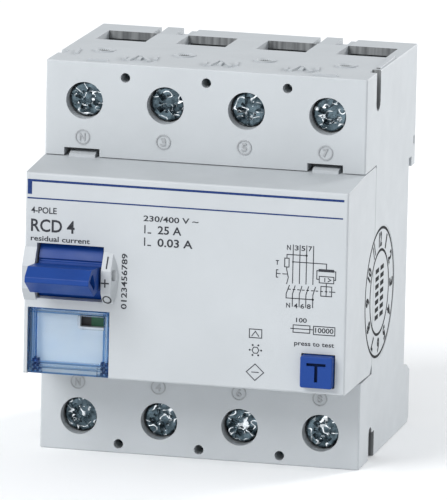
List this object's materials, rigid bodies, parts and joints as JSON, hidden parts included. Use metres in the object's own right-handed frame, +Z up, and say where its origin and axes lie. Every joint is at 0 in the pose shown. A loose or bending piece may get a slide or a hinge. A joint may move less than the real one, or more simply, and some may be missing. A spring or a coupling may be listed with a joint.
{
  "type": "residual current device",
  "caption": "Rail-mounted multi-pole residual current device with grey case, blue toggle and test button, hinged label cover, clamp terminals and rail clips.",
  "frame": {"origin": "centre of the rail seat, on the plane that rests on the mounting rail", "axes": "+Y towards the wall, -Y towards the user, +Z up, +X to the user's right"},
  "size_m": [0.0706, 0.077, 0.0857],
  "materials": {
    "body_plastic": "fine-textured light grey thermoplastic",
    "base_plastic": "light grey thermoplastic",
    "blue_plastic": "satin blue",
    "clear_plastic": "clear, slightly blue polycarbonate",
    "label_paper": "pale card",
    "flag_green": "green",
    "flag_red": "red",
    "dark_plastic": "black",
    "inner_plastic": "grey-beige thermoset",
    "steel": "zinc plated",
    "screw_steel": "darkened zinc plated",
    "copper": "copper",
    "silver": "silver faced copper",
    "ferrite": "dark sintered ring",
    "winding": "enamelled copper wire",
    "wire_cover": "insulated conductor",
    "board": "printed circuit board",
    "part_body": "component bodies"
  },
  "bodies": {
    "case": {"main_housing": "body_plastic", "rear_base": "base_plastic", "front_hood": "body_plastic", "inner_frame": "inner_plastic", "handle_pin": "steel", "main_spring": "steel", "upper_terminal_bars": "copper", "lower_terminal_bars": "copper", "primary_conductors": "wire_cover", "transformer_core": "ferrite", "transformer_case": "dark_plastic", "transformer_winding": "winding", "trip_relay_case": "inner_plastic", "relay_coil": "winding", "relay_magnet": "ferrite", "trip_lever_pin": "steel", "circuit_board": "board", "board_components": "part_body", "test_resistor": "part_body", "test_switch_block": "inner_plastic", "test_contact_strip": "copper", "label_card": "label_paper", "housing_screws": "screw_steel", "flexible_leads": "copper", "test_button_spring": "steel", "rail_clip_spring_left": "steel", "rail_clip_spring_right": "steel"},
    "handle": {"handle": "blue_plastic", "handle_spring": "steel", "link_pin": "steel"},
    "toggle_link": {"toggle_link": "steel"},
    "contact_shaft": {"contact_carrier": "dark_plastic", "moving_contacts": "silver"},
    "position_flag": {"indicator_flag": "flag_green", "indicator_red_band": "flag_red"},
    "test_button": {"test_button": "blue_plastic"},
    "label_cover": {"label_cover": "clear_plastic"},
    "relay_plunger": {"relay_plunger": "steel"},
    "trip_lever": {"trip_lever": "inner_plastic"},
    "rail_clip_left": {"rail_clip_left": "dark_plastic"},
    "rail_clip_right": {"rail_clip_right": "dark_plastic"},
    "terminal_screw_upper_1": {"terminal_screw_upper_1": "screw_steel"},
    "terminal_cage_upper_1": {"terminal_cage_upper_1": "steel"},
    "terminal_screw_upper_2": {"terminal_screw_upper_2": "screw_steel"},
    "terminal_cage_upper_2": {"terminal_cage_upper_2": "steel"},
    "terminal_screw_upper_3": {"terminal_screw_upper_3": "screw_steel"},
    "terminal_cage_upper_3": {"terminal_cage_upper_3": "steel"},
    "terminal_screw_upper_4": {"terminal_screw_upper_4": "screw_steel"},
    "terminal_cage_upper_4": {"terminal_cage_upper_4": "steel"},
    "terminal_screw_lower_1": {"terminal_screw_lower_1": "screw_steel"},
    "terminal_cage_lower_1": {"terminal_cage_lower_1": "steel"},
    "terminal_screw_lower_2": {"terminal_screw_lower_2": "screw_steel"},
    "terminal_cage_lower_2": {"terminal_cage_lower_2": "steel"},
    "terminal_screw_lower_3": {"terminal_screw_lower_3": "screw_steel"},
    "terminal_cage_lower_3": {"terminal_cage_lower_3": "steel"},
    "terminal_screw_lower_4": {"terminal_screw_lower_4": "screw_steel"},
    "terminal_cage_lower_4": {"terminal_cage_lower_4": "steel"}
  },
  "joints": [
    {"name": "handle_hinge", "type": "hinge", "parent": "case", "child": "handle", "pos_m": [-0.02525, -0.0515, -0.0003], "axis": [1, 0, 0], "range_deg": [-17, 16]},
    {"name": "link_hinge", "type": "hinge", "parent": "handle", "child": "toggle_link", "pos_m": [-0.0249, -0.0441, -0.0003], "axis": [1, 0, 0], "range_deg": [-16.1, 17.1]},
    {"name": "contact_hinge", "type": "hinge", "parent": "case", "child": "contact_shaft", "pos_m": [0, -0.011, 0.01], "axis": [1, 0, 0], "range_deg": [-18.92, 20.1], "deforming": ["main_spring", "flexible_leads"]},
    {"name": "flag_slide", "type": "slide", "parent": "case", "child": "position_flag", "axis": [1, 0, 0], "range_m": [-0.00426, 0.00452]},
    {"name": "test_button_slide", "type": "slide", "parent": "case", "child": "test_button", "axis": [0, 1, 0], "range_m": [0, 0.0018], "stiffness_N_per_m": 400, "springref_m": -0.002, "deforming": ["test_button_spring", "test_contact_strip"]},
    {"name": "label_cover_hinge", "type": "hinge", "parent": "case", "child": "label_cover", "pos_m": [-0.0254, -0.05875, -0.0214], "axis": [1, 0, 0], "range_deg": [0, 105]},
    {"name": "relay_plunger_slide", "type": "slide", "parent": "case", "child": "relay_plunger", "axis": [-1, 0, 0], "range_m": [0, 0.0012], "stiffness_N_per_m": 60, "springref_m": -0.002},
    {"name": "trip_lever_hinge", "type": "hinge", "parent": "case", "child": "trip_lever", "pos_m": [-0.0128, -0.0444, 0.0005], "axis": [0, 0, -1], "range_deg": [0, 12.6]},
    {"name": "rail_clip_left_slide", "type": "slide", "parent": "case", "child": "rail_clip_left", "axis": [0, 0, -1], "range_m": [0, 0.004], "stiffness_N_per_m": 500, "springref_m": -0.002, "deforming": ["rail_clip_spring_left"]},
    {"name": "rail_clip_right_slide", "type": "slide", "parent": "case", "child": "rail_clip_right", "axis": [0, 0, -1], "range_m": [0, 0.004], "stiffness_N_per_m": 500, "springref_m": -0.002, "deforming": ["rail_clip_spring_right"]},
    {"name": "terminal_screw_upper_1_turn", "type": "hinge", "parent": "case", "child": "terminal_screw_upper_1", "pos_m": [-0.0267, -0.03, 0.0345], "axis": [0, 1, 0], "range_deg": [0, 2525]},
    {"name": "terminal_cage_upper_1_slide", "type": "slide", "parent": "case", "child": "terminal_cage_upper_1", "axis": [0, -1, 0], "range_m": [0, 0.0056]},
    {"name": "terminal_screw_upper_2_turn", "type": "hinge", "parent": "case", "child": "terminal_screw_upper_2", "pos_m": [-0.0089, -0.03, 0.0345], "axis": [0, 1, 0], "range_deg": [0, 2525]},
    {"name": "terminal_cage_upper_2_slide", "type": "slide", "parent": "case", "child": "terminal_cage_upper_2", "axis": [0, -1, 0], "range_m": [0, 0.0056]},
    {"name": "terminal_screw_upper_3_turn", "type": "hinge", "parent": "case", "child": "terminal_screw_upper_3", "pos_m": [0.0089, -0.03, 0.0345], "axis": [0, 1, 0], "range_deg": [0, 2525]},
    {"name": "terminal_cage_upper_3_slide", "type": "slide", "parent": "case", "child": "terminal_cage_upper_3", "axis": [0, -1, 0], "range_m": [0, 0.0056]},
    {"name": "terminal_screw_upper_4_turn", "type": "hinge", "parent": "case", "child": "terminal_screw_upper_4", "pos_m": [0.0267, -0.03, 0.0345], "axis": [0, 1, 0], "range_deg": [0, 2525]},
    {"name": "terminal_cage_upper_4_slide", "type": "slide", "parent": "case", "child": "terminal_cage_upper_4", "axis": [0, -1, 0], "range_m": [0, 0.0056]},
    {"name": "terminal_screw_lower_1_turn", "type": "hinge", "parent": "case", "child": "terminal_screw_lower_1", "pos_m": [-0.0267, -0.03, -0.0347], "axis": [0, 1, 0], "range_deg": [0, 2525]},
    {"name": "terminal_cage_lower_1_slide", "type": "slide", "parent": "case", "child": "terminal_cage_lower_1", "axis": [0, -1, 0], "range_m": [0, 0.0056]},
    {"name": "terminal_screw_lower_2_turn", "type": "hinge", "parent": "case", "child": "terminal_screw_lower_2", "pos_m": [-0.0089, -0.03, -0.0347], "axis": [0, 1, 0], "range_deg": [0, 2525]},
    {"name": "terminal_cage_lower_2_slide", "type": "slide", "parent": "case", "child": "terminal_cage_lower_2", "axis": [0, -1, 0], "range_m": [0, 0.0056]},
    {"name": "terminal_screw_lower_3_turn", "type": "hinge", "parent": "case", "child": "terminal_screw_lower_3", "pos_m": [0.0089, -0.03, -0.0347], "axis": [0, 1, 0], "range_deg": [0, 2525]},
    {"name": "terminal_cage_lower_3_slide", "type": "slide", "parent": "case", "child": "terminal_cage_lower_3", "axis": [0, -1, 0], "range_m": [0, 0.0056]},
    {"name": "terminal_screw_lower_4_turn", "type": "hinge", "parent": "case", "child": "terminal_screw_lower_4", "pos_m": [0.0267, -0.03, -0.0347], "axis": [0, 1, 0], "range_deg": [0, 2525]},
    {"name": "terminal_cage_lower_4_slide", "type": "slide", "parent": "case", "child": "terminal_cage_lower_4", "axis": [0, -1, 0], "range_m": [0, 0.0056]}
  ],
  "couplings": [
    {"joint": "link_hinge", "follows": "handle_hinge", "ratio": -1},
    {"joint": "contact_hinge", "follows": "handle_hinge", "ratio": -1.1765},
    {"joint": "flag_slide", "follows": "handle_hinge", "m_per_rad": -0.015167},
    {"joint": "trip_lever_hinge", "follows": "relay_plunger_slide", "rad_per_m": 181.82},
    {"joint": "terminal_screw_upper_1_turn", "follows": "terminal_cage_upper_1_slide", "rad_per_m": 7854},
    {"joint": "terminal_screw_upper_2_turn", "follows": "terminal_cage_upper_2_slide", "rad_per_m": 7854},
    {"joint": "terminal_screw_upper_3_turn", "follows": "terminal_cage_upper_3_slide", "rad_per_m": 7854},
    {"joint": "terminal_screw_upper_4_turn", "follows": "terminal_cage_upper_4_slide", "rad_per_m": 7854},
    {"joint": "terminal_screw_lower_1_turn", "follows": "terminal_cage_lower_1_slide", "rad_per_m": 7854},
    {"joint": "terminal_screw_lower_2_turn", "follows": "terminal_cage_lower_2_slide", "rad_per_m": 7854},
    {"joint": "terminal_screw_lower_3_turn", "follows": "terminal_cage_lower_3_slide", "rad_per_m": 7854},
    {"joint": "terminal_screw_lower_4_turn", "follows": "terminal_cage_lower_4_slide", "rad_per_m": 7854}
  ]
}
